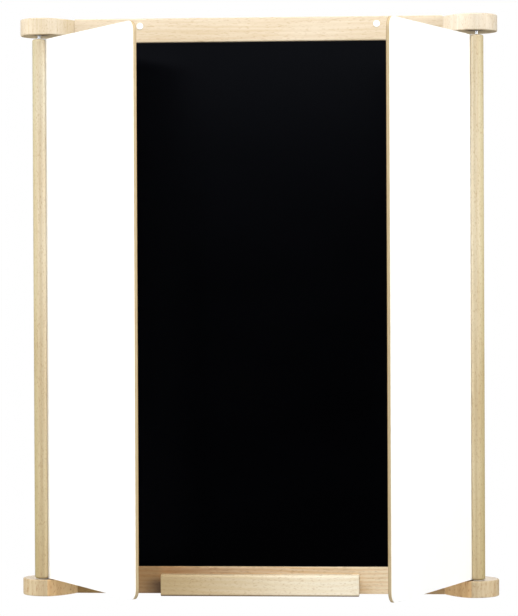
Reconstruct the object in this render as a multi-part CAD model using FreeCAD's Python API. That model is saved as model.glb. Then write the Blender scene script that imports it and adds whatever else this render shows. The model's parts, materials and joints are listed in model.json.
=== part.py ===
"""Wall-hung tri-fold drawing board: a chalkboard between two beech rails, and a white
wing panel on a turning post at each side.

X runs to the right, Y into the wall and Z up, in millimetres. The origin is on the wall,
midway between the two wall screws.
"""
import FreeCAD
import Part
import math
import os

Vector = FreeCAD.Vector

# Frame
hinge_spacing = 792.0          # between the axes of the two wings
opening_height = 958.0         # chalkboard that shows between the rails
top_rail_height = 44.0
bottom_rail_height = 49.0
rail_depth = 36.0              # from the wall to the rail's front
edge_round = 2.0               # eased edges of the beech pieces

# End blocks
block_height = 30.0
upper_block_drop = 2.0         # top of an upper block below the top of its rail
block_reach_out = 38.0         # from the wing axis to the rounded outer end
block_reach_in = 60.0          # from the wing axis to the joint with the rail
block_bulge = 54.0             # front of the block ahead of the rail's front
block_nose_flat = 12.0         # flat stretch between the round end and the cheek
nose_round = 30.0              # soft turn from that flat into the cheek
cheek_swell = 4.5              # how far the cheek's curve stands off a straight slope
axis_setback = 18.0            # wing axis behind the front of the block

# Joint between rail and block
dowel_diameter = 8.0
dowel_length = 50.0
dowel_spacing = 16.0           # between the two dowels of a joint, along the depth
dowel_end_gap = 1.0            # empty hole left beyond each end of a dowel

# Chalkboard
board_core_thickness = 8.0
board_face_thickness = 1.2
board_setback = 8.0            # writing surface behind the rails' front
board_inset = 10.0             # each side edge of the board short of the rail's end
groove_depth = 12.0
groove_end_gap = 1.0           # room above and below the board in its grooves
slip_gap = 0.15                # room round a board in its groove

# Chalk tray
tray_length = 362.0
tray_depth = 18.0
tray_height = 39.0
tray_drop = 13.0               # top of the tray below the bottom rail's top edge
tray_lip_round = 5.0           # upper front edge
chalk_groove_width = 8.0
chalk_groove_setback = 7.0     # from the tray's front to the groove
chalk_groove_depth = 6.0
chalk_groove_margin = 14.0     # solid wood left at each end of the groove
tray_screw_count = 3
tray_screw_spacing = 130.0
tray_screw_rise = 20.0         # above the bottom rail's lower edge
tray_screw_diameter = 4.0
tray_screw_bite = 11.0         # length of the screw in the tray
tray_screw_sink = 14.0         # depth of the hole for the screw head, from the wall side
tray_screw_head_diameter = 8.0
tray_screw_head_height = 3.0

# Wall fixing
wall_screw_spacing = 432.0
wall_screw_drop = 14.0         # below the top edge of the top rail
wall_hole_diameter = 5.5
cap_diameter = 12.0
cap_thickness = 1.2
cap_round = 0.6
plug_diameter = 9.8
plug_length = 5.0
plug_hole_depth = 6.0

# Wing posts and their pivots
post_diameter = 25.0
post_flat_offset = 8.5         # flat for the panel, from the wing axis
post_round = 4.0
post_top_gap = 7.5             # bare pin between the post and the upper block
washer_diameter = 18.0
washer_thickness = 1.0
pin_diameter = 6.0
pin_length = 62.0
pin_in_block = 20.0
bush_diameter = 10.0
bush_length = 22.0

# Wing panels
panel_core_thickness = 5.0
laminate_thickness = 0.6
panel_corner_radius = 19.0
panel_meeting_gap = 3.0        # between the free edges of the two closed wings
panel_lift = 1.0               # lower edge of the panel above the foot of the post
panel_flat_margin = 0.3        # hinge edge of the panel inside the edge of the post's flat
panel_screw_count = 5
panel_screw_diameter = 3.5
panel_screw_head_diameter = 7.0
panel_screw_head_height = 2.4
panel_screw_bite = 11.0        # length of the screw in the post
panel_screw_margin = 70.0      # from the ends of the post to the first and last screw

# Cross recess in the screw heads
recess_length = 4.2
recess_width = 1.1
recess_depth = 1.6

# Clearances
bond_gap = 0.05                # radial room round glued, pressed or screwed pieces
running_gap = 0.05             # radial room of a pin in its bush
thrust_gap = 0.1               # between a post's foot and its washer

# Opening of the wings in the stored pose, from closed
left_opening_deg = 59.0
right_opening_deg = 69.0

# Derived places
hinge_half = hinge_spacing / 2
rail_half = hinge_half - block_reach_in
block_depth = rail_depth + block_bulge
axis_ahead_of_rail = block_bulge - axis_setback
axis_y = -(rail_depth + axis_ahead_of_rail)
rail_top = wall_screw_drop
opening_top = rail_top - top_rail_height
opening_bottom = opening_top - opening_height
frame_bottom = opening_bottom - bottom_rail_height
upper_block_top = rail_top - upper_block_drop
upper_block_bottom = upper_block_top - block_height
lower_block_top = frame_bottom + block_height
post_bottom = lower_block_top + washer_thickness + thrust_gap
post_top = upper_block_bottom - post_top_gap
board_front = -rail_depth + board_setback
board_back = board_front + board_face_thickness + board_core_thickness
tray_top = opening_bottom - tray_drop
panel_outer = axis_y + post_flat_offset
panel_thickness = panel_core_thickness + 2 * laminate_thickness
panel_inner = panel_outer + panel_thickness

ALONG_X = Vector(1, 0, 0)
ALONG_Y = Vector(0, 1, 0)
ALONG_Z = Vector(0, 0, 1)
LEFT_AXIS = Vector(-hinge_half, axis_y, 0)


def box(x, y, z):
    """Box between the low and high values given for each axis."""
    low = Vector(x[0], y[0], z[0])
    return Part.makeBox(x[1] - x[0], y[1] - y[0], z[1] - z[0], low)


def rod(diameter, length, start, direction):
    """Round bar from its start point."""
    return Part.makeCylinder(diameter / 2, length, start, direction)


def mirrored(shape):
    """The same piece on the other side of the board."""
    return shape.mirror(Vector(0, 0, 0), ALONG_X)


def evenly(count, low, high):
    """Places from low to high, both included."""
    step = (high - low) / (count - 1)
    return [low + step * number for number in range(count)]


def long_edges(solid, direction):
    """Straight edges that run along a direction."""
    found = []
    for edge in solid.Edges:
        if isinstance(edge.Curve, Part.Line) and abs(edge.tangentAt(edge.FirstParameter).dot(direction)) > 0.999:
            found.append(edge)
    return found


def dowel_places():
    """Y places of the dowels in one joint."""
    middle = -rail_depth / 2
    return [middle - dowel_spacing / 2, middle + dowel_spacing / 2]


def dowel_bars(joint_x, height, diameter, length):
    """Bars across one joint, half their length on each side of it."""
    start_x = joint_x - length / 2
    return [rod(diameter, length, Vector(start_x, y, height), ALONG_X) for y in dowel_places()]


def dowel_holes(joint_x, height):
    """Holes for the dowels of one joint."""
    return dowel_bars(joint_x, height, dowel_diameter + 2 * bond_gap, dowel_length + 2 * dowel_end_gap)


def joint_heights():
    """Heights of the dowels in the top and the bottom rail."""
    return upper_block_top - block_height / 2, frame_bottom + block_height / 2


def rail_blank(bottom, height):
    """Plain rail with eased long edges."""
    blank = box((-rail_half, rail_half), (-rail_depth, 0), (bottom, bottom + height))
    return blank.makeFillet(edge_round, long_edges(blank, ALONG_X))


def board_groove():
    """Space that the chalkboard takes in both rails."""
    half = rail_half - board_inset + slip_gap
    depth = (board_front - slip_gap, board_back + slip_gap)
    return box((-half, half), depth, (opening_bottom - groove_depth, opening_top + groove_depth))


def wall_hole_places():
    """Centres of the two wall screws, on the wall."""
    return [Vector(side * wall_screw_spacing / 2, 0, 0) for side in (-1, 1)]


def top_rail():
    """Top rail with the board's groove, the dowel holes and the holes for the wall screws."""
    cuts = [board_groove()]
    for side in (-1, 1):
        cuts += dowel_holes(side * rail_half, joint_heights()[0])
    for place in wall_hole_places():
        cuts.append(rod(wall_hole_diameter, rail_depth, place, -ALONG_Y))
        cuts.append(rod(plug_diameter + 2 * bond_gap, plug_hole_depth, place - ALONG_Y * rail_depth, ALONG_Y))
    return rail_blank(opening_top, top_rail_height).cut(cuts)


def tray_screw_places():
    """Centres of the tray's screws, on the wall side of the bottom rail."""
    half = tray_screw_spacing * (tray_screw_count - 1) / 2
    height = frame_bottom + tray_screw_rise
    return [Vector(x, 0, height) for x in evenly(tray_screw_count, -half, half)]


def bottom_rail():
    """Bottom rail with the board's groove, the dowel holes and the holes for the tray's screws."""
    cuts = [board_groove()]
    for side in (-1, 1):
        cuts += dowel_holes(side * rail_half, joint_heights()[1])
    for place in tray_screw_places():
        cuts.append(rod(tray_screw_diameter + 2 * bond_gap, rail_depth, place, -ALONG_Y))
        cuts.append(rod(tray_screw_head_diameter + 2 * bond_gap, tray_screw_sink, place, -ALONG_Y))
    return rail_blank(frame_bottom, bottom_rail_height).cut(cuts)


def left_block_outline(height):
    """Plan outline of a left end block: round outer end, flat nose, swelling cheek, joint."""
    def at(inward, ahead):
        return Vector(-hinge_half + inward, axis_y - ahead, height)

    end_radius = block_depth / 2
    end_centre = end_radius - block_reach_out
    wall = axis_setback - block_depth
    joint_back = at(block_reach_in, wall)
    joint_front = at(block_reach_in, -axis_ahead_of_rail)
    round_back = at(end_centre, wall)
    round_tip = at(-block_reach_out, axis_setback - end_radius)
    round_front = at(end_centre, axis_setback)
    nose = at(end_centre + block_nose_flat, axis_setback)
    slope = joint_front - nose
    swell = slope.cross(ALONG_Z).normalize() * cheek_swell
    cheek = (nose + joint_front) * 0.5 + swell
    return Part.Wire([
        Part.makeLine(joint_back, round_back),
        Part.Arc(round_back, round_tip, round_front).toShape(),
        Part.makeLine(round_front, nose),
        Part.Arc(nose, cheek, joint_front).toShape(),
        Part.makeLine(joint_front, joint_back),
    ])


def left_block(bottom, bush_mouth, bush_direction, dowel_height):
    """Left end block with a soft nose, eased upper and lower edges, a bush hole and dowel holes."""
    sawn = Part.Face(left_block_outline(bottom)).extrude(ALONG_Z * block_height)
    front = axis_y - axis_setback
    at_front = [edge for edge in long_edges(sawn, ALONG_Z) if edge.BoundBox.YMax < front + edge_round]
    nose = max(at_front, key=lambda edge: edge.BoundBox.XMax)
    blank = sawn.makeFillet(nose_round, [nose])
    joint_x = -rail_half
    eased = []
    for edge in blank.Edges:
        ends = edge.BoundBox
        on_joint = ends.XMin > joint_x - edge_round
        if ends.ZLength < edge_round and not on_joint:
            eased.append(edge)
    block = blank.makeFillet(edge_round, eased)
    mouth = LEFT_AXIS + ALONG_Z * bush_mouth
    cuts = [rod(bush_diameter + 2 * bond_gap, bush_length, mouth, bush_direction)]
    return block.cut(cuts + dowel_holes(joint_x, dowel_height))


def bush(mouth, direction):
    """Sleeve that a pivot pin turns in."""
    start = LEFT_AXIS + ALONG_Z * mouth
    sleeve = rod(bush_diameter, bush_length, start, direction)
    return sleeve.cut(rod(pin_diameter + 2 * running_gap, bush_length, start, direction))


def thrust_washer():
    """Washer that a post's foot turns on."""
    start = LEFT_AXIS + ALONG_Z * lower_block_top
    disc = rod(washer_diameter, washer_thickness, start, ALONG_Z)
    return disc.cut(rod(bush_diameter, washer_thickness, start, ALONG_Z))


def cross_recess(middle):
    """Cross that the driver takes in a screw head that faces +Y, from the middle of its face."""
    long = recess_length / 2
    slim = recess_width / 2
    depth = (middle.y - recess_depth, middle.y)
    arms = []
    for half_x, half_z in ((long, slim), (slim, long)):
        arms.append(box((middle.x - half_x, middle.x + half_x), depth, (middle.z - half_z, middle.z + half_z)))
    return arms


def board_layer(front, thickness):
    """One layer of the chalkboard, let into both rails."""
    half = rail_half - board_inset
    tongue = groove_depth - groove_end_gap
    return box((-half, half), (front, front + thickness), (opening_bottom - tongue, opening_top + tongue))


def chalk_tray():
    """Ledge on the bottom rail with a groove for chalk along its top."""
    half = tray_length / 2
    front = -rail_depth - tray_depth
    blank = box((-half, half), (front, -rail_depth), (tray_top - tray_height, tray_top))
    in_front = [edge for edge in long_edges(blank, ALONG_X) if edge.BoundBox.YMax < front + edge_round]
    lip = max(in_front, key=lambda edge: edge.BoundBox.ZMax)
    lipped = blank.makeFillet(tray_lip_round, [lip])
    eased = []
    for edge in lipped.Edges:
        span = edge.BoundBox
        at_end = span.XLength < edge_round and span.YMin < -rail_depth - edge_round
        at_foot = span.YMax < front + edge_round and span.ZMax < tray_top - tray_height + edge_round
        if at_end or at_foot:
            eased.append(edge)
    tray = lipped.makeFillet(edge_round, eased)
    groove_half = half - chalk_groove_margin
    groove_front = front + chalk_groove_setback
    width = (groove_front, groove_front + chalk_groove_width)
    cuts = [box((-groove_half, groove_half), width, (tray_top - chalk_groove_depth, tray_top + edge_round))]
    for place in tray_screw_places():
        start = place - ALONG_Y * rail_depth
        cuts.append(rod(tray_screw_diameter + 2 * bond_gap, tray_screw_bite, start, -ALONG_Y))
    return tray.cut(cuts)


def tray_screw(place):
    """Screw from the wall side, through the bottom rail into the tray."""
    seat = place - ALONG_Y * tray_screw_sink
    head = rod(tray_screw_head_diameter, tray_screw_head_height, seat, ALONG_Y)
    shank = rod(tray_screw_diameter, rail_depth - tray_screw_sink + tray_screw_bite, seat, -ALONG_Y)
    face = seat + ALONG_Y * tray_screw_head_height
    return head.fuse(shank).removeSplitter().cut(cross_recess(face))


def wall_screw_cap(place):
    """Cap that hides a wall screw, with its plug in the rail."""
    front = place - ALONG_Y * rail_depth
    disc = rod(cap_diameter, cap_thickness, front, -ALONG_Y)
    rim = [edge for edge in disc.Edges if edge.BoundBox.YMax < -rail_depth - cap_thickness / 2
           and edge.BoundBox.YLength < cap_thickness / 2]
    plug = rod(plug_diameter, plug_length, front, ALONG_Y)
    return disc.makeFillet(cap_round, rim).fuse(plug).removeSplitter()


def pin_starts():
    """Lower ends of the two pins of a wing: in the upper block's bush and in the lower one's."""
    upper = upper_block_bottom + pin_in_block - pin_length
    lower = lower_block_top - pin_in_block
    return upper, lower


def pivot_pins(diameter):
    """The two pins of the left wing, on its axis."""
    return [rod(diameter, pin_length, LEFT_AXIS + ALONG_Z * start, ALONG_Z) for start in pin_starts()]


def panel_screw_heights():
    """Heights of the screws that hold a panel to its post."""
    return evenly(panel_screw_count, post_bottom + panel_screw_margin, post_top - panel_screw_margin)


def panel_screws(gap):
    """Countersunk screws of the left panel, flush with its inner face, grown by a gap."""
    made = []
    for height in panel_screw_heights():
        seat = Vector(-hinge_half, panel_inner, height)
        wide = panel_screw_head_diameter / 2 + gap
        narrow = panel_screw_diameter / 2 + gap
        head = Part.makeCone(wide, narrow, panel_screw_head_height, seat, -ALONG_Y)
        shank = rod(2 * narrow, panel_thickness + panel_screw_bite, seat, -ALONG_Y)
        made.append(head.fuse(shank).removeSplitter())
    return made


def driven_panel_screws():
    """The left panel's screws with the driver's cross in each head."""
    driven = []
    for screw, height in zip(panel_screws(0), panel_screw_heights()):
        driven.append(screw.cut(cross_recess(Vector(-hinge_half, panel_inner, height))))
    return driven


def left_post():
    """Round post with a flat for the panel, and holes for its pins and screws."""
    length = post_top - post_bottom
    bar = rod(post_diameter, length, LEFT_AXIS + ALONG_Z * post_bottom, ALONG_Z)
    rims = [edge for edge in bar.Edges if edge.BoundBox.ZLength < post_round]
    bar = bar.makeFillet(post_round, rims)
    radius = post_diameter / 2
    flat = box((-hinge_half - radius, -hinge_half + radius), (panel_outer, axis_y + radius), (post_bottom, post_top))
    return bar.cut([flat] + pivot_pins(pin_diameter + 2 * bond_gap) + panel_screws(bond_gap))


def left_panel_layer(front, thickness):
    """One layer of the left wing's panel, closed, with its free corners rounded."""
    flat_half = math.sqrt((post_diameter / 2) ** 2 - post_flat_offset ** 2)
    hinge_edge = -hinge_half - flat_half + panel_flat_margin
    free_edge = -panel_meeting_gap / 2
    sheet = box((hinge_edge, free_edge), (front, front + thickness), (post_bottom + panel_lift, post_top))
    corners = [edge for edge in long_edges(sheet, ALONG_Y) if edge.BoundBox.XMin > free_edge - panel_corner_radius]
    return sheet.makeFillet(panel_corner_radius, corners).cut(panel_screws(bond_gap))


def left_wing():
    """Pieces of the left wing in its closed place."""
    core_front = panel_outer + laminate_thickness
    return {
        "post": left_post(),
        "panel_core": left_panel_layer(core_front, panel_core_thickness),
        "outer_laminate": left_panel_layer(panel_outer, laminate_thickness),
        "inner_laminate": left_panel_layer(core_front + panel_core_thickness, laminate_thickness),
        "pivot_pins": Part.makeCompound(pivot_pins(pin_diameter)),
        "panel_screws": Part.makeCompound(driven_panel_screws()),
    }


def opened(shape, axis, degrees):
    """A wing's piece turned about the wing's axis."""
    turned = shape.copy()
    turned.rotate(axis, ALONG_Z, degrees)
    return turned


def wings():
    """Pieces of both wings in the stored pose."""
    pieces = {}
    right_axis = Vector(hinge_half, axis_y, 0)
    for name, shape in left_wing().items():
        pieces["left_" + name] = opened(shape, LEFT_AXIS, -left_opening_deg)
        pieces["right_" + name] = opened(mirrored(shape), right_axis, right_opening_deg)
    return pieces


def frame():
    """Pieces that stay on the wall."""
    upper_dowels, lower_dowels = joint_heights()
    upper_block = left_block(upper_block_bottom, upper_block_bottom, ALONG_Z, upper_dowels)
    lower_block = left_block(frame_bottom, lower_block_top, -ALONG_Z, lower_dowels)
    bushes = [bush(upper_block_bottom, ALONG_Z), bush(lower_block_top, -ALONG_Z)]
    dowels = []
    for side in (-1, 1):
        for height in joint_heights():
            dowels += dowel_bars(side * rail_half, height, dowel_diameter, dowel_length)
    washer = thrust_washer()
    return {
        "top_rail": top_rail(),
        "bottom_rail": bottom_rail(),
        "top_left_end_block": upper_block,
        "top_right_end_block": mirrored(upper_block),
        "bottom_left_end_block": lower_block,
        "bottom_right_end_block": mirrored(lower_block),
        "end_block_dowels": Part.makeCompound(dowels),
        "pivot_bushes": Part.makeCompound(bushes + [mirrored(piece) for piece in bushes]),
        "thrust_washers": Part.makeCompound([washer, mirrored(washer)]),
        "chalkboard_face": board_layer(board_front, board_face_thickness),
        "chalkboard_core": board_layer(board_front + board_face_thickness, board_core_thickness),
        "chalk_tray": chalk_tray(),
        "tray_screws": Part.makeCompound([tray_screw(place) for place in tray_screw_places()]),
        "wall_screw_caps": Part.makeCompound([wall_screw_cap(place) for place in wall_hole_places()]),
    }


def main():
    """Write every piece to its own file."""
    os.makedirs("parts", exist_ok=True)
    pieces = frame()
    pieces.update(wings())
    for name, shape in pieces.items():
        shape.exportStep("parts/" + name + ".step")
        print(name, len(shape.Solids), round(shape.Volume), shape.isValid())


main()
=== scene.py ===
"""Looks of the wall-hung drawing board: beech rails, blocks and posts, a black chalkboard and
two white wing panels, in soft studio light.

Metres, in the model's own frame: X to the right, Y into the wall, Z up, origin on the wall
midway between the two wall screws.
"""
import json
import math

import bpy
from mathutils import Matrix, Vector


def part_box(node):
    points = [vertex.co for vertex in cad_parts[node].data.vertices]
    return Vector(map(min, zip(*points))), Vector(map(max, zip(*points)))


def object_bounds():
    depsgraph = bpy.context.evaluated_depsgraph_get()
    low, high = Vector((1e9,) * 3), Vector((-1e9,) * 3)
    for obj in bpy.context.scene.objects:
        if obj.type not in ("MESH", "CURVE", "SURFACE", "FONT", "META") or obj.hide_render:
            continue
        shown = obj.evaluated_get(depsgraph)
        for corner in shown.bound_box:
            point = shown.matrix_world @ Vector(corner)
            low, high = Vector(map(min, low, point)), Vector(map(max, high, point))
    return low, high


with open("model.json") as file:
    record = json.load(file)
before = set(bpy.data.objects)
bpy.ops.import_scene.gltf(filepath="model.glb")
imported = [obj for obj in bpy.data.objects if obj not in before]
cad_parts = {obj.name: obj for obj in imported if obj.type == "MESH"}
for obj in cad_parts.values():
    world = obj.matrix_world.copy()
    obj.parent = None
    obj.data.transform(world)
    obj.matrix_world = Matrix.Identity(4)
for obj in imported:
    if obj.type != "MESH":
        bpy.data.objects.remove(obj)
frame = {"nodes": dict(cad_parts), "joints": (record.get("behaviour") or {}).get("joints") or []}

cad_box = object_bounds()
nodes = frame["nodes"]
MM = 0.001
WAVE_PERIOD = 0.1 * math.pi     # period of a wave texture of scale 1

# Sockets of a colour mix: share of the second colour, the two colours, and the result
SHARE, FIRST, SECOND, MIXED = 0, 6, 7, 2

# Places read from the frame
hinges = {joint["child"]: joint for joint in frame["joints"]}
hinge_half = abs(hinges["left_wing"]["pos_m"][0])
tray_low, tray_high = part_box("chalk_tray")
tray_middle = (Vector(tray_low) + Vector(tray_high)) / 2
middle = (Vector(cad_box[0]) + Vector(cad_box[1])) / 2


def linear(hex_colour):
    """Linear colour of an sRGB hex value such as "e7d5b5"."""
    channels = [int(hex_colour[start:start + 2], 16) / 255 for start in (0, 2, 4)]
    bent = [c / 12.92 if c <= 0.04045 else ((c + 0.055) / 1.055) ** 2.4 for c in channels]
    return (*bent, 1.0)


def per_mm(*sizes):
    """Texture scales that make the cells of a pattern as large as these sizes in millimetres."""
    return tuple(1 / (size * MM) for size in sizes)


def plug(tree, node, inputs):
    """Set a node's inputs to values, or link them to other nodes."""
    for name, value in inputs.items():
        if isinstance(value, bpy.types.NodeSocket):
            tree.links.new(value, node.inputs[name])
        else:
            node.inputs[name].default_value = value


def add(tree, kind, inputs=None, **settings):
    """Add a node, set its properties, and set or link its inputs."""
    node = tree.nodes.new(kind)
    for name, value in settings.items():
        setattr(node, name, value)
    plug(tree, node, inputs or {})
    return node


def start_material(name):
    """A new material with its tree, its principled shader and the piece's own coordinates."""
    material = bpy.data.materials.new(name)
    material.use_nodes = True
    tree = material.node_tree
    shader = tree.nodes["Principled BSDF"]
    place = add(tree, "ShaderNodeTexCoord").outputs["Object"]
    return material, tree, shader, place


def wear(node_names, material):
    """Put a material on carried-over pieces."""
    for name in node_names:
        nodes[name].data.materials.clear()
        nodes[name].data.materials.append(material)


# Turns that bring the grain of a piece onto the local Z axis
GRAIN_TURNS = {"X": (0, math.radians(90), 0), "Z": (0, 0, 0)}


def beech(name, grain, pith, pale, warm, fleck, band_mm=7.0, band=0.5, fleck_mm=(1.4, 5.0),
          fleck_depth=0.5, tones_and_painted_shade=(), corner_shade=0.55, end_grain=None):
    """Oiled steamed beech, planed and sanded: pale and close-grained, with soft growth bands, fine
    streaks along the grain and the short brown ray flecks that tell beech from other pale woods.
    Its edges are painted a little paler as a highlight, and its inner corners darker with painted
    shade.

    The grain runs along an axis of the part, and pith says how far from the middle of its trunk,
    and how far along it, the piece was cut. Each entry in the list of tints colours the wood by its
    place on the part, mostly as painted shade and fall of light and partly as wood tone: a tint,
    and one or more reaches. A reach is an axis and the two places between which the tint sets in,
    and the tint shows where all its reaches overlap. A threshold says how open a corner may be and
    still be darkened with painted shade. End grain drinks more oil, so it may have its own colour.

    Real bands are 2 to 4 mm apart and the flecks under a millimetre wide: both are drawn two to
    three times as coarse, so that they show at the size of the picture.
    """
    material, tree, shader, place = start_material(name)
    turned = add(tree, "ShaderNodeMapping",
                 {"Vector": place, "Rotation": GRAIN_TURNS[grain], "Location": pith})
    local = turned.outputs["Vector"]

    # Growth bands, pushed about over some 100 mm across the grain and 400 mm along it
    wander_place = add(tree, "ShaderNodeMapping",
                       {"Vector": local, "Scale": per_mm(100, 100, 400)})
    wander = add(tree, "ShaderNodeTexNoise",
                 {"Vector": wander_place.outputs[0], "Scale": 1.0, "Detail": 2.0})
    offset = add(tree, "ShaderNodeVectorMath",
                 {0: wander.outputs["Color"], 1: (0.5, 0.5, 0.5)}, operation="SUBTRACT")
    push = add(tree, "ShaderNodeVectorMath", {0: offset.outputs[0], "Scale": 30 * MM},
               operation="SCALE")
    bent = add(tree, "ShaderNodeVectorMath", {0: local, 1: push.outputs[0]}, operation="ADD")
    bands = add(tree, "ShaderNodeTexWave",
                {"Vector": bent.outputs[0], "Scale": WAVE_PERIOD / (band_mm * MM),
                 "Distortion": 1.4, "Detail": 2.0, "Detail Scale": 1.5},
                wave_type="RINGS", rings_direction="Z", wave_profile="SIN")
    # Fine streaks, 2.5 mm across the grain and 125 mm along it
    streak_place = add(tree, "ShaderNodeMapping",
                       {"Vector": local, "Scale": per_mm(2.5, 2.5, 125)})
    streaks = add(tree, "ShaderNodeTexNoise",
                  {"Vector": streak_place.outputs[0], "Scale": 1.0, "Detail": 4.0,
                   "Roughness": 0.65})
    # Ray flecks, as wide and long as asked and 10 mm deep towards the pith
    fleck_width, fleck_length = fleck_mm
    ray_place = add(tree, "ShaderNodeMapping",
                    {"Vector": local, "Scale": per_mm(fleck_width, 10, fleck_length)})
    rays = add(tree, "ShaderNodeTexNoise",
               {"Vector": ray_place.outputs[0], "Scale": 1.0, "Detail": 1.0})
    flecks = add(tree, "ShaderNodeMapRange",
                 {"Value": rays.outputs[0], "From Min": 0.56, "From Max": 0.74})
    # Broad patches of warmer wood, 62.5 mm across the grain and 250 mm along it
    patch_place = add(tree, "ShaderNodeMapping",
                      {"Vector": local, "Scale": per_mm(62.5, 62.5, 250)})
    patches = add(tree, "ShaderNodeTexNoise",
                  {"Vector": patch_place.outputs[0], "Scale": 1.0, "Detail": 2.0})

    # Bands, streaks and patches add up to the warmth. Noise keeps mostly between 0.35 and 0.65.
    streak_weight = 0.6
    patch_weight = 0.8
    noise_weight = streak_weight + patch_weight
    banded = add(tree, "ShaderNodeMath", {0: bands.outputs["Fac"], 1: band}, operation="MULTIPLY")
    streaked = add(tree, "ShaderNodeMath",
                   {0: streaks.outputs[0], 1: streak_weight, 2: banded.outputs[0]},
                   operation="MULTIPLY_ADD")
    patched = add(tree, "ShaderNodeMath",
                  {0: patches.outputs[0], 1: patch_weight, 2: streaked.outputs[0]},
                  operation="MULTIPLY_ADD")
    warmth = add(tree, "ShaderNodeMapRange",
                 {"Value": patched.outputs[0], "From Min": 0.35 * noise_weight,
                  "From Max": 0.65 * noise_weight + band})
    wood = add(tree, "ShaderNodeMix",
               {SHARE: warmth.outputs[0], FIRST: linear(pale), SECOND: linear(warm)},
               data_type="RGBA")
    if end_grain:
        facing = add(tree, "ShaderNodeTexCoord").outputs["Normal"]
        lengthwise = add(tree, "ShaderNodeSeparateXYZ", {0: facing}).outputs[grain]
        end_on = add(tree, "ShaderNodeMath", {0: lengthwise}, operation="ABSOLUTE")
        end_share = add(tree, "ShaderNodeMapRange",
                        {"Value": end_on.outputs[0], "From Min": 0.6, "From Max": 0.95,
                         "To Max": 0.9})
        wood = add(tree, "ShaderNodeMix",
                   {SHARE: end_share.outputs[0], FIRST: wood.outputs[MIXED],
                    SECOND: linear(end_grain)}, data_type="RGBA")
    fleck_share = add(tree, "ShaderNodeMath", {0: flecks.outputs[0], 1: fleck_depth},
                      operation="MULTIPLY")
    wood = add(tree, "ShaderNodeMix",
               {SHARE: fleck_share.outputs[0], FIRST: wood.outputs[MIXED], SECOND: linear(fleck)},
               data_type="RGBA")
    for tint, *reaches in tones_and_painted_shade:
        overlap = 1.0
        for axis, plain_at, brown_at in reaches:
            along = add(tree, "ShaderNodeSeparateXYZ", {0: place}).outputs[axis]
            reach = add(tree, "ShaderNodeMapRange",
                        {"Value": along, "From Min": plain_at, "From Max": brown_at},
                        interpolation_type="SMOOTHSTEP")
            overlap = add(tree, "ShaderNodeMath", {0: reach.outputs[0], 1: overlap},
                          operation="MULTIPLY").outputs[0]
        wood = add(tree, "ShaderNodeMix",
                   {SHARE: overlap, FIRST: wood.outputs[MIXED], SECOND: linear(tint)},
                   data_type="RGBA", blend_type="MULTIPLY")

    # Painted highlight: edges paler where the rounded normal leaves the true one
    rounded = add(tree, "ShaderNodeBevel", {"Radius": 2.5 * MM}, samples=4)
    true = add(tree, "ShaderNodeNewGeometry")
    agree = add(tree, "ShaderNodeVectorMath",
                {0: rounded.outputs[0], 1: true.outputs["Normal"]}, operation="DOT_PRODUCT")
    edge_highlight = add(tree, "ShaderNodeMapRange",
                 {"Value": agree.outputs["Value"], "From Min": 0.97, "From Max": 0.7,
                  "To Max": 0.45})
    wood = add(tree, "ShaderNodeMix",
               {SHARE: edge_highlight.outputs[0], FIRST: wood.outputs[MIXED], SECOND: linear(pale)},
               data_type="RGBA")
    # Painted shade in narrow gaps and inner corners, up to 15 mm from them
    nook = add(tree, "ShaderNodeAmbientOcclusion", {"Distance": 15 * MM}, samples=8)
    corner_shade_share = add(tree, "ShaderNodeMapRange",
                 {"Value": nook.outputs["AO"], "From Min": corner_shade, "From Max": corner_shade - 0.4,
                  "To Max": 0.85})
    wood = add(tree, "ShaderNodeMix",
               {SHARE: corner_shade_share.outputs[0], FIRST: wood.outputs[MIXED], SECOND: linear("7a5a36")},
               data_type="RGBA", blend_type="MULTIPLY")

    gloss = add(tree, "ShaderNodeMapRange",
                {"Value": streaks.outputs[0], "To Min": 0.42, "To Max": 0.6})
    relief = add(tree, "ShaderNodeMath", {0: streaks.outputs[0], 1: flecks.outputs[0]},
                 operation="SUBTRACT")
    bump = add(tree, "ShaderNodeBump",
               {"Height": relief.outputs[0], "Strength": 0.2, "Distance": 0.12 * MM})
    plug(tree, shader, {"Base Color": wood.outputs[MIXED], "Roughness": gloss.outputs[0],
                        "Normal": bump.outputs[0], "IOR": 1.48})
    return material


def opening_angle(body):
    """How far a wing stands open, as a turn about Z from its closed place."""
    hinge = hinges[body]
    return math.radians(-hinge["range_deg"][0]) * hinge["axis"][2]


def plywood_edge(name, body):
    """Bare birch plywood: thin plies in turn along and across, so the edge is a tan strip with
    faint lines; the layers follow the panel as it stands open. Plies are drawn 1.2 mm thick, two
    to a wave."""
    material, tree, shader, place = start_material(name)
    laid = add(tree, "ShaderNodeMapping",
               {"Vector": place, "Location": hinges[body]["pos_m"],
                "Rotation": (0, 0, opening_angle(body))}, vector_type="TEXTURE")
    local = laid.outputs["Vector"]
    plies = add(tree, "ShaderNodeTexWave", {"Vector": local, "Scale": WAVE_PERIOD / (2.4 * MM)},
                bands_direction="Y")
    fibre_place = add(tree, "ShaderNodeMapping",
                      {"Vector": local, "Scale": per_mm(3.33, 1.11, 16.7)})
    fibres = add(tree, "ShaderNodeTexNoise",
                 {"Vector": fibre_place.outputs[0], "Scale": 1.0, "Detail": 3.0})
    layers = add(tree, "ShaderNodeMath",
                 {0: plies.outputs["Fac"], 1: 0.55, 2: fibres.outputs[0]},
                 operation="MULTIPLY_ADD")
    tone = add(tree, "ShaderNodeMapRange",
               {"Value": layers.outputs[0], "From Min": 0.3, "From Max": 1.2})
    colour = add(tree, "ShaderNodeMix",
                 {SHARE: tone.outputs[0], FIRST: linear("b6a785"), SECOND: linear("9b835f")},
                 data_type="RGBA")
    bump = add(tree, "ShaderNodeBump",
               {"Height": layers.outputs[0], "Strength": 0.3, "Distance": 0.2 * MM})
    plug(tree, shader, {"Base Color": colour.outputs[MIXED], "Normal": bump.outputs[0],
                        "Roughness": 0.62, "IOR": 1.48})
    return material


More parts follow.
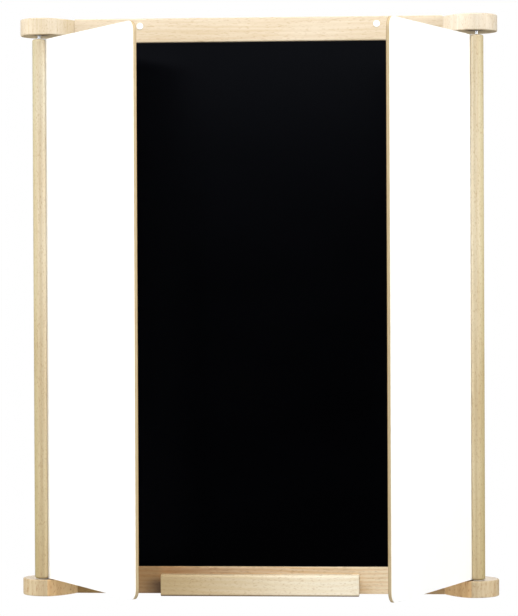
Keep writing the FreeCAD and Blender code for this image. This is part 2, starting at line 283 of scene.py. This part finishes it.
def writing_laminate(name, body, core):
    """White melamine laminate, pressed smooth: bright and satin on its face, with a faint ripple
    and the ghost of wiped marks in its gloss, and the colour of its paper core along its cut
    edge."""
    material, tree, shader, place = start_material(name)
    facing = add(tree, "ShaderNodeTexCoord").outputs["Normal"]
    turned = add(tree, "ShaderNodeMapping",
                 {"Vector": facing, "Rotation": (0, 0, opening_angle(body))},
                 vector_type="TEXTURE")
    across = add(tree, "ShaderNodeSeparateXYZ", {0: turned.outputs[0]}).outputs["Y"]
    on_face = add(tree, "ShaderNodeMath", {0: across}, operation="ABSOLUTE")
    cut_edge = add(tree, "ShaderNodeMath", {0: on_face.outputs[0], 1: 0.5}, operation="LESS_THAN")
    ghost = add(tree, "ShaderNodeTexNoise",
                {"Vector": place, "Scale": 1 / (111 * MM), "Detail": 4.0, "Roughness": 0.65})
    ripple = add(tree, "ShaderNodeTexNoise",
                 {"Vector": place, "Scale": 1 / (6.25 * MM), "Detail": 1.0})
    white = add(tree, "ShaderNodeMix",
                {SHARE: ghost.outputs[0], FIRST: linear("eeeeed"), SECOND: linear("e9e9e8")},
                data_type="RGBA")
    colour = add(tree, "ShaderNodeMix",
                 {SHARE: cut_edge.outputs[0], FIRST: white.outputs[MIXED], SECOND: linear(core)},
                 data_type="RGBA")
    gloss = add(tree, "ShaderNodeMapRange",
                {"Value": ghost.outputs[0], "To Min": 0.24, "To Max": 0.38})
    bump = add(tree, "ShaderNodeBump",
               {"Height": ripple.outputs[0], "Strength": 0.04, "Distance": 0.1 * MM})
    plug(tree, shader, {"Base Color": colour.outputs[MIXED], "Roughness": gloss.outputs[0],
                        "Normal": bump.outputs[0], "IOR": 1.5})
    return material


def chalk_enamel():
    """Matt black chalkboard enamel, sprayed with a fine tooth: near black, with a weak cool sheen
    and the faintest veil where chalk was wiped off. The tooth is drawn as coarse as 1.1 mm."""
    material, tree, shader, place = start_material("matt_black_chalk_enamel")
    wipe_place = add(tree, "ShaderNodeMapping",
                     {"Vector": place, "Rotation": (0, 0.4, 0), "Scale": per_mm(250, 250, 90.9)})
    wipes = add(tree, "ShaderNodeTexNoise",
                {"Vector": wipe_place.outputs[0], "Scale": 1.0, "Detail": 5.0, "Roughness": 0.6})
    tooth = add(tree, "ShaderNodeTexNoise",
                {"Vector": place, "Scale": 1 / (1.11 * MM), "Detail": 1.0})
    colour = add(tree, "ShaderNodeMix",
                 {SHARE: wipes.outputs[0], FIRST: linear("000000"), SECOND: linear("010102")},
                 data_type="RGBA")
    gloss = add(tree, "ShaderNodeMapRange",
                {"Value": wipes.outputs[0], "To Min": 0.22, "To Max": 0.28})
    bump = add(tree, "ShaderNodeBump",
               {"Height": tooth.outputs[0], "Strength": 0.15, "Distance": 0.05 * MM})
    plug(tree, shader, {"Base Color": colour.outputs[MIXED], "Roughness": gloss.outputs[0],
                        "Normal": bump.outputs[0], "IOR": 1.45, "Specular IOR Level": 0.034,
                        "Specular Tint": linear("e0e8ff")})
    return material


def fibreboard():
    """Raw fibreboard, pressed from wood fibre: an even brown with a felted speckle."""
    material, tree, shader, place = start_material("raw_fibreboard")
    felt = add(tree, "ShaderNodeTexNoise",
               {"Vector": place, "Scale": 1 / (2.38 * MM), "Detail": 4.0, "Roughness": 0.7})
    cloud = add(tree, "ShaderNodeTexNoise",
                {"Vector": place, "Scale": 1 / (71.4 * MM), "Detail": 3.0})
    speckle = add(tree, "ShaderNodeMath",
                  {0: cloud.outputs[0], 1: 0.3, 2: felt.outputs[0]}, operation="MULTIPLY_ADD")
    tone = add(tree, "ShaderNodeMapRange",
               {"Value": speckle.outputs[0], "From Min": 0.35, "From Max": 0.95})
    colour = add(tree, "ShaderNodeMix",
                 {SHARE: tone.outputs[0], FIRST: linear("9a7a55"), SECOND: linear("6f5337")},
                 data_type="RGBA")
    bump = add(tree, "ShaderNodeBump",
               {"Height": felt.outputs[0], "Strength": 0.3, "Distance": 0.2 * MM})
    plug(tree, shader, {"Base Color": colour.outputs[MIXED], "Normal": bump.outputs[0],
                        "Roughness": 0.85})
    return material


def bright_steel():
    """Zinc-plated steel, drawn and turned: bright, a little cool, with fine rings round the
    pins."""
    material, tree, shader, place = start_material("bright_zinc_plated_steel")
    ring_place = add(tree, "ShaderNodeMapping",
                     {"Vector": place, "Scale": per_mm(25, 25, 0.385)})
    rings = add(tree, "ShaderNodeTexNoise",
                {"Vector": ring_place.outputs[0], "Scale": 1.0, "Detail": 2.0})
    colour = add(tree, "ShaderNodeMix",
                 {SHARE: rings.outputs[0], FIRST: linear("aeb0b2"), SECOND: linear("85888b")},
                 data_type="RGBA")
    gloss = add(tree, "ShaderNodeMapRange",
                {"Value": rings.outputs[0], "To Min": 0.18, "To Max": 0.36})
    bump = add(tree, "ShaderNodeBump",
               {"Height": rings.outputs[0], "Strength": 0.1, "Distance": 0.03 * MM})
    plug(tree, shader, {"Base Color": colour.outputs[MIXED], "Roughness": gloss.outputs[0],
                        "Normal": bump.outputs[0], "Metallic": 1.0})
    return material


def moulded_plastic(name, clear, cloudy, smooth, matt):
    """Injection-moulded plastic: even colour with faint clouding and a soft spark-eroded skin.
    Smooth and matt are the least and greatest roughness."""
    material, tree, shader, place = start_material(name)
    cloud = add(tree, "ShaderNodeTexNoise",
                {"Vector": place, "Scale": 1 / (5.56 * MM), "Detail": 2.0})
    skin = add(tree, "ShaderNodeTexNoise",
               {"Vector": place, "Scale": 1 / (0.385 * MM), "Detail": 1.0})
    colour = add(tree, "ShaderNodeMix",
                 {SHARE: cloud.outputs[0], FIRST: linear(clear), SECOND: linear(cloudy)},
                 data_type="RGBA")
    gloss = add(tree, "ShaderNodeMapRange",
                {"Value": skin.outputs[0], "To Min": smooth, "To Max": matt})
    bump = add(tree, "ShaderNodeBump",
               {"Height": skin.outputs[0], "Strength": 0.1, "Distance": 0.03 * MM})
    plug(tree, shader, {"Base Color": colour.outputs[MIXED], "Roughness": gloss.outputs[0],
                        "Normal": bump.outputs[0], "IOR": 1.53})
    return material


def dress_rails():
    """Beech with the grain along X: both rails, the tray and the dowels."""
    left_end = tray_low[0]
    right_end = tray_high[0]
    low_edge = tray_low[2]
    tray_top = tray_high[2]
    rail_flecks = {"fleck_mm": (1.9, 8.0), "fleck_depth": 0.4}
    wear(["top_rail"],
         beech("oiled_beech_top_rail", "X", (0.08, 0.10, 0), "cdbfa9", "bba685", "9f8157",
               band=0.15, **rail_flecks))
    rail_tone_and_shade = [
        # Wood tone and painted wing shade, darker leftward; painted shade left of the tray
        ("bfa280", ("X", 0.17, -0.22)),
        ("e6edee", ("X", left_end + 9 * MM, left_end - 11 * MM)),
        # Painted shadow beside the tray's left end, and a weaker one beside its right end
        ("908679", ("X", left_end - 49 * MM, left_end), ("X", 0.0, -0.1),
         ("Z", tray_top, tray_top - 20 * MM)),
        ("ece4da", ("X", right_end + 34 * MM, right_end + 9 * MM), ("X", 0.0, 0.1),
         ("Z", tray_top - 8 * MM, tray_top - 28 * MM)),
        # Darker brown towards both end blocks: painted shade under the wings
        ("ebeccc", ("X", -0.25, -0.3)),
        ("af9f83", ("X", 0.25, 0.3)),
    ]
    wear(["bottom_rail"],
         beech("oiled_beech_bottom_rail", "X", (1.12, 0.08, 0.3), "ebdbbf", "d9b585", "ac8658",
               band=0.3, tones_and_painted_shade=rail_tone_and_shade, corner_shade=0.4, **rail_flecks))
    tray_tone_and_shade = [
        # Wood tone and painted wing shade, darker leftward; painted shade along the lower edge
        ("c8b89b", ("X", 0.2, -0.2)),
        ("766650", ("Z", low_edge + 4 * MM, low_edge + MM)),
    ]
    wear(["chalk_tray"],
         beech("oiled_beech_tray", "X", (1.11, 0.14, 0.7), "f2e8d3", "e8d7b4", "c6a97e",
               band=0.3, tones_and_painted_shade=tray_tone_and_shade))
    wear(["end_block_dowels"],
         beech("plain_beech_dowels", "X", (0.5, 0.2, 0), "e6d2a8", "d2b582", "b08c58"))


def dress_end_blocks():
    """Beech with upright grain, a paler or darker piece at each corner, its tones partly painted
    light and shade: the lower blocks darker, the top right one paler on its cheek. The nose is the
    round end about the hinge, and the cheek runs from there to the rail; their tints are painted
    shade."""
    cheek_from_hinge = 12.5 * MM
    # The figures' corner darkening is painted shade, strongest on the upper blocks.
    upper_figure = {"band": 0.05, "corner_shade": 0.85, "end_grain": "cdb68c"}
    lower_figure = {"band": 0.2, "corner_shade": 0.4, "end_grain": "ad997a", "fleck_mm": (2.2, 7.0),
                    "fleck_depth": 0.7}
    block_woods = {
        # pale, warm and fleck tones, painted shade of nose and cheek, half width of the change,
        # figure
        "top_left": ("cdc1ae", "baa785", "9d805c", "ffffff", "ffffff", 12 * MM, upper_figure),
        "top_right": ("ded5c5", "cbb798", "ac8e68", "e5e5e5", "ffffff", 12 * MM, upper_figure),
        "bottom_left": ("d8c6a1", "bfa279", "a67843", "e5e5e5", "ffeed9", MM, lower_figure),
        "bottom_right": ("d3c19f", "bba077", "a27542", "e5e5e5", "ffeed9", MM, lower_figure),
    }
    for number, (corner, wood) in enumerate(block_woods.items()):
        pale, warm, fleck, nose, cheek, change, figure = wood
        name = corner + "_end_block"
        inward = 1 if corner.endswith("left") else -1
        seam = inward * (cheek_from_hinge - hinge_half)
        outer = seam - inward * change
        inner = seam + inward * change
        tints = [(nose, ("X", inner, outer)), (cheek, ("X", outer, inner))]
        wear([name], beech("oiled_beech_" + name, "Z", (0.2, 0.16, 0.3 * number), pale, warm, fleck,
                           band_mm=9.0, tones_and_painted_shade=tints, **figure))


def dress_wings():
    """Posts, plywood cores and laminates of both wings."""
    for number, (side, inward) in enumerate((("left", 1), ("right", -1))):
        body = side + "_wing"
        hinge_x = -inward * hinge_half
        post_painted_light = [
            # Painted fall of light: darker brown towards the foot, a little darker towards the top
            ("e0d8c3", ("Z", -0.2, -1.0)),
            ("f0f0ee", ("Z", -0.4, 0.0)),
            # Painted shade: darker brown on the middle and the outer side than towards the panel
            ("dedad2", ("X", hinge_x + inward * 10 * MM, hinge_x + inward * 3 * MM)),
            ("eaecdf", ("X", hinge_x - inward * MM, hinge_x - inward * 8 * MM)),
        ]
        wear([side + "_post"],
             beech("oiled_beech_" + side + "_post", "Z", (0.45, 0.13, 0.4 * number),
                   "efe6cf", "dac7a5", "b29268", band=0.1, tones_and_painted_shade=post_painted_light, corner_shade=0.05))
        wear([side + "_panel_core"], plywood_edge("birch_plywood_" + side, body))
        for face, core in (("_outer_laminate", "f0e7d2"), ("_inner_laminate", "8f7448")):
            wear([side + face], writing_laminate("white_melamine_" + side + face, body, core))


def dress_board_and_fittings():
    """Chalkboard, pins, screws, bushes, washers and caps."""
    wear(["chalkboard_face"], chalk_enamel())
    wear(["chalkboard_core"], fibreboard())
    wear(["left_pivot_pins", "left_panel_screws", "right_pivot_pins", "right_panel_screws",
          "tray_screws"], bright_steel())
    wear(["pivot_bushes", "thrust_washers"],
         moulded_plastic("natural_nylon", "efece2", "e3dfd0", 0.42, 0.55))
    wear(["wall_screw_caps"],
         moulded_plastic("white_polypropylene_caps", "f6f6f4", "ececea", 0.32, 0.42))


# Studio
floor_drop = 1.0                # floor below the hanging board
floor_half = 3.0
camera_place = (0.3252, -4.7563, -0.4677)
camera_turn_deg = (89.42, 0.25, 3.94)
camera_lens_mm = 180.4
camera_frame_mm = 36.0          # width of the frame behind that lens
soft_boxes = {
    # name: place, width, height, watts
    "upper_left": ((-2.6, -3.0, 2.2), 2.4, 2.4, 45.0),
    "overhead": ((0.2, -1.5, 2.6), 3.0, 2.0, 112.0),
    "front_strip": ((0.4, -6.0, 0.78), 4.0, 0.2, 62.0),
    "left_side": ((-3.4, -0.8, 0.6), 2.0, 2.0, 105.0),
    "right_side": ((3.4, -1.4, 0.6), 2.0, 2.0, 118.0),
    "low_left": ((-1.8, -4.6, -0.7), 1.5, 1.5, 17.0),
    "low_right": ((2.2, -4.4, -0.8), 1.5, 1.5, 12.0),
    "behind": ((0.0, 3.0, 0.6), 2.4, 1.6, 60.0),
}
tray_lamp_place = (0.05, -0.75, 0.5)
tray_lamp_spread_deg = 30
ambient_below = 0.04
ambient_above = 0.30
wall_tone = 0.72                # surround away from the white backdrop


def pale_floor():
    """Plain pale floor a metre under the hanging board, below the photograph's frame."""
    bpy.ops.object.select_all(action="DESELECT")
    bpy.ops.mesh.primitive_plane_add(size=2 * floor_half,
                                     location=(0, 0, cad_box[0][2] - floor_drop))
    floor = bpy.context.object
    floor.name = "studio_floor"
    bpy.ops.object.transform_apply(location=True, rotation=True, scale=True)
    material, tree, shader, place = start_material("pale_matt_paper")
    mottle = add(tree, "ShaderNodeTexNoise",
                 {"Vector": place, "Scale": 1 / (167 * MM), "Detail": 3.0})
    colour = add(tree, "ShaderNodeMix",
                 {SHARE: mottle.outputs[0], FIRST: linear("cfcfcd"), SECOND: linear("c8c8c6")},
                 data_type="RGBA")
    plug(tree, shader, {"Base Color": colour.outputs[MIXED], "Roughness": 0.9})
    floor.data.materials.append(material)


def area_lamp(name, place, target, width, height, watts, spread_deg=180):
    """A soft box that looks at a point; a small spread is a grid in front of it."""
    light = bpy.data.lights.new(name, "AREA")
    light.shape = "RECTANGLE"
    light.size = width
    light.size_y = height
    light.energy = watts
    light.spread = math.radians(spread_deg)
    lamp = bpy.data.objects.new(name, light)
    bpy.context.scene.collection.objects.link(lamp)
    lamp.location = place
    lamp.rotation_euler = (target - Vector(place)).to_track_quat("-Z", "Y").to_euler()


def soft_lamps():
    """Large soft boxes that look at the middle of the board, and a gridded one over the tray."""
    for name, (place, width, height, watts) in soft_boxes.items():
        area_lamp(name, place, middle, width, height, watts)
    area_lamp("tray_strip", tray_lamp_place, tray_middle, 0.4, 0.2, 0.25, tray_lamp_spread_deg)


def white_surround():
    """White behind the board and pale grey elsewhere, so that the white panels stand out from
    other sides too, and a weaker light from all round that fades downward."""
    world = bpy.data.worlds.new("white_studio")
    bpy.context.scene.world = world
    world.use_nodes = True
    tree = world.node_tree
    tree.nodes.clear()
    outlook = add(tree, "ShaderNodeTexCoord").outputs["Generated"]
    towards = add(tree, "ShaderNodeSeparateXYZ", {0: outlook})
    backdrop = add(tree, "ShaderNodeMapRange",
                   {"Value": towards.outputs["Y"], "From Min": 0.8, "From Max": 0.97,
                    "To Min": wall_tone, "To Max": 1.0})
    seen = add(tree, "ShaderNodeBackground",
               {"Color": linear("ffffff"), "Strength": backdrop.outputs[0]})
    fade = add(tree, "ShaderNodeMapRange",
               {"Value": towards.outputs["Z"], "From Min": -0.4, "From Max": 0.6,
                "To Min": ambient_below, "To Max": ambient_above})
    around = add(tree, "ShaderNodeBackground",
                 {"Color": linear("ffffff"), "Strength": fade.outputs[0]})
    path = add(tree, "ShaderNodeLightPath")
    mixed = add(tree, "ShaderNodeMixShader",
                {0: path.outputs["Is Camera Ray"], 1: around.outputs[0], 2: seen.outputs[0]})
    add(tree, "ShaderNodeOutputWorld", {"Surface": mixed.outputs[0]})


def photo_camera():
    """Long lens a little to the right of the board and just above its middle, looking half a
    degree down."""
    data = bpy.data.cameras.new("photo_camera")
    data.sensor_fit = "HORIZONTAL"
    data.sensor_width = camera_frame_mm
    data.lens = camera_lens_mm
    view = bpy.data.objects.new("photo_camera", data)
    bpy.context.scene.collection.objects.link(view)
    view.location = camera_place
    view.rotation_euler = [math.radians(angle) for angle in camera_turn_deg]
    bpy.context.scene.camera = view
    bpy.context.scene.view_settings.view_transform = "Standard"


dress_rails()
dress_end_blocks()
dress_wings()
dress_board_and_fittings()
pale_floor()
soft_lamps()
white_surround()
photo_camera()
